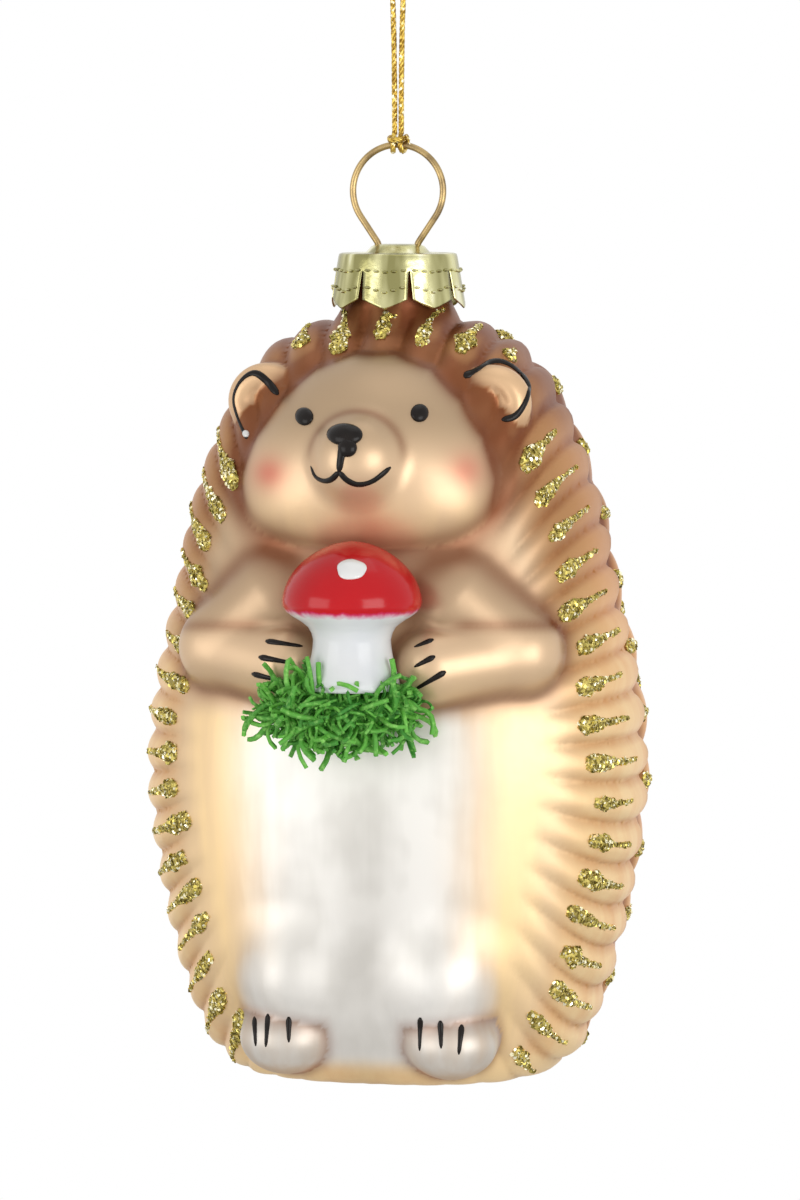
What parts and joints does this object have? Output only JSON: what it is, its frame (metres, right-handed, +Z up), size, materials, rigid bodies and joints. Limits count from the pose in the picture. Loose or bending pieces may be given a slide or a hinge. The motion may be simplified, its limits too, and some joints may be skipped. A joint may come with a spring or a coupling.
{
  "type": "hanging glass hedgehog ornament",
  "caption": "Hollow blown-glass hedgehog ornament holding a mushroom on moss, hung by a gold cord from the wire ring of a petalled metal cap.",
  "frame": {"origin": "inside top of the cord's eye, where a hook carries the ornament", "axes": "+Z up along the neck, -Y the hedgehog's front, +X the left paw's side"},
  "size_m": [0.0636, 0.0656, 0.1531],
  "materials": {
    "pearl_glass": "pearl lacquer over silvered glass, copper sides and a white belly",
    "cap_metal": "bright pressed sheet",
    "hanger_metal": "aged spring wire",
    "gold_cord": "twisted metallic yarn",
    "mushroom_lacquer": "high gloss lacquer, crimson cap and white stem",
    "white_enamel": "gloss enamel",
    "moss_fibre": "dyed dry moss",
    "black_enamel": "raised gloss enamel",
    "gold_glitter": "loose glitter in clear glue"
  },
  "bodies": {
    "cord": {"hanging_cord": "gold_cord", "cord_hitch": "gold_cord"},
    "hanger": {"hanger_wire": "hanger_metal", "crown_cap": "cap_metal"},
    "hedgehog": {"glass_body": "pearl_glass", "mushroom": "mushroom_lacquer", "mushroom_spot": "white_enamel", "moss_tuft": "moss_fibre", "eyes": "black_enamel", "nose": "black_enamel", "mouth": "black_enamel", "ear_rims": "black_enamel", "paw_claws": "black_enamel", "foot_claws": "black_enamel", "glitter_border": "gold_glitter", "glitter_second": "gold_glitter", "glitter_third": "gold_glitter", "glitter_fourth": "gold_glitter", "glitter_back": "gold_glitter", "glitter_rump": "gold_glitter"}
  },
  "joints": [
    {"name": "ornament_swing", "type": "hinge", "parent": "cord", "child": "hanger", "pos_m": [0, 0, -0.03311], "axis": [1, 0, 0], "range_deg": [-75, 75]},
    {"name": "body_turn", "type": "hinge", "parent": "hanger", "child": "hedgehog", "pos_m": [0, 0, -0.04729], "axis": [0, 0, 1], "continuous": true}
  ]
}
